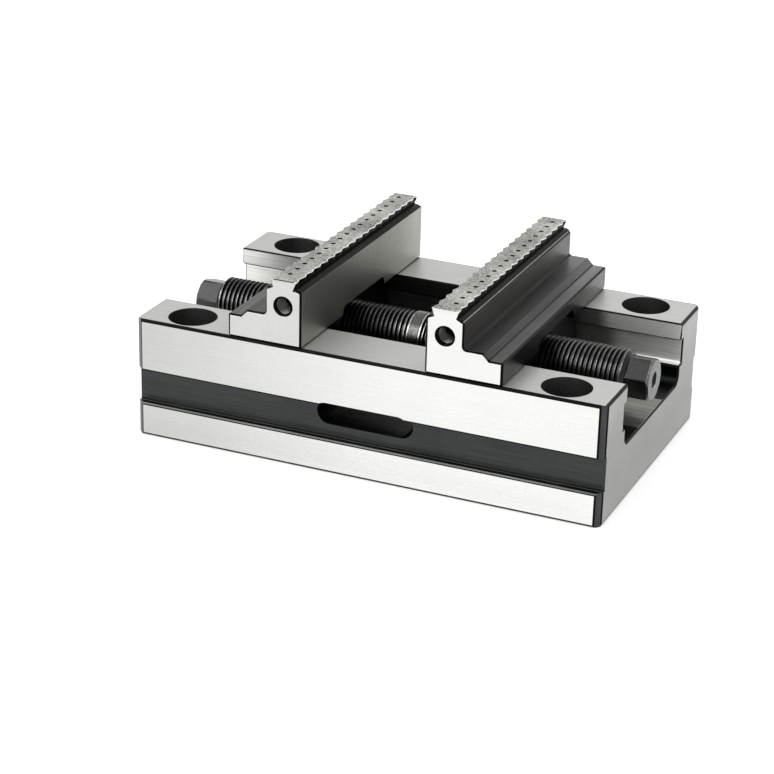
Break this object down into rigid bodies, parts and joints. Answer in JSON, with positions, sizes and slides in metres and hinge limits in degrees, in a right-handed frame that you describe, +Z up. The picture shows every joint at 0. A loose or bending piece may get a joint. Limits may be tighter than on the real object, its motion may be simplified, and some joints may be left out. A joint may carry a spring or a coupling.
{
  "type": "self-centering vise",
  "caption": "Self-centering vise: a screw with opposed threads draws toothed jaws together over a channelled, ground steel body with side grooves, drain slots and counterbored mounting holes.",
  "frame": {"origin": "on the underside of the body, below the middle of the screw", "axes": "+X along the screw to the right, +Y across the jaws to the back, +Z up"},
  "size_m": [0.15, 0.09, 0.0584],
  "materials": {
    "ground_steel": "surface-ground tool steel, satin, with milled dark side grooves",
    "hardened_jaw_steel": "hardened and ground, satin",
    "black_oxide_steel": "black oxide, oiled",
    "bright_pin_steel": "centreless ground"
  },
  "bodies": {
    "base": {"vise_body": "ground_steel", "screw_bracket": "black_oxide_steel", "bracket_screws": "black_oxide_steel", "bracket_dowels": "bright_pin_steel"},
    "spindle": {"lead_screw": "black_oxide_steel"},
    "left_carriage": {"jaw_left": "hardened_jaw_steel", "slide_nut_left": "black_oxide_steel", "jaw_screws_left": "black_oxide_steel", "jaw_dowels_left": "bright_pin_steel"},
    "right_carriage": {"jaw_right": "hardened_jaw_steel", "slide_nut_right": "black_oxide_steel", "jaw_screws_right": "black_oxide_steel", "jaw_dowels_right": "bright_pin_steel"}
  },
  "joints": [
    {"name": "screw_turn", "type": "hinge", "parent": "base", "child": "spindle", "pos_m": [0, 0, 0.0294], "axis": [-1, 0, 0], "range_deg": [-5401, 4609]},
    {"name": "jaw_left_slide", "type": "slide", "parent": "base", "child": "left_carriage", "axis": [1, 0, 0], "range_m": [-0.0225, 0.0192]},
    {"name": "jaw_right_slide", "type": "slide", "parent": "base", "child": "right_carriage", "axis": [-1, 0, 0], "range_m": [-0.02251, 0.01921]}
  ],
  "couplings": [
    {"joint": "screw_turn", "follows": "jaw_left_slide", "rad_per_m": 4188.8},
    {"joint": "jaw_right_slide", "follows": "jaw_left_slide", "ratio": 1}
  ]
}
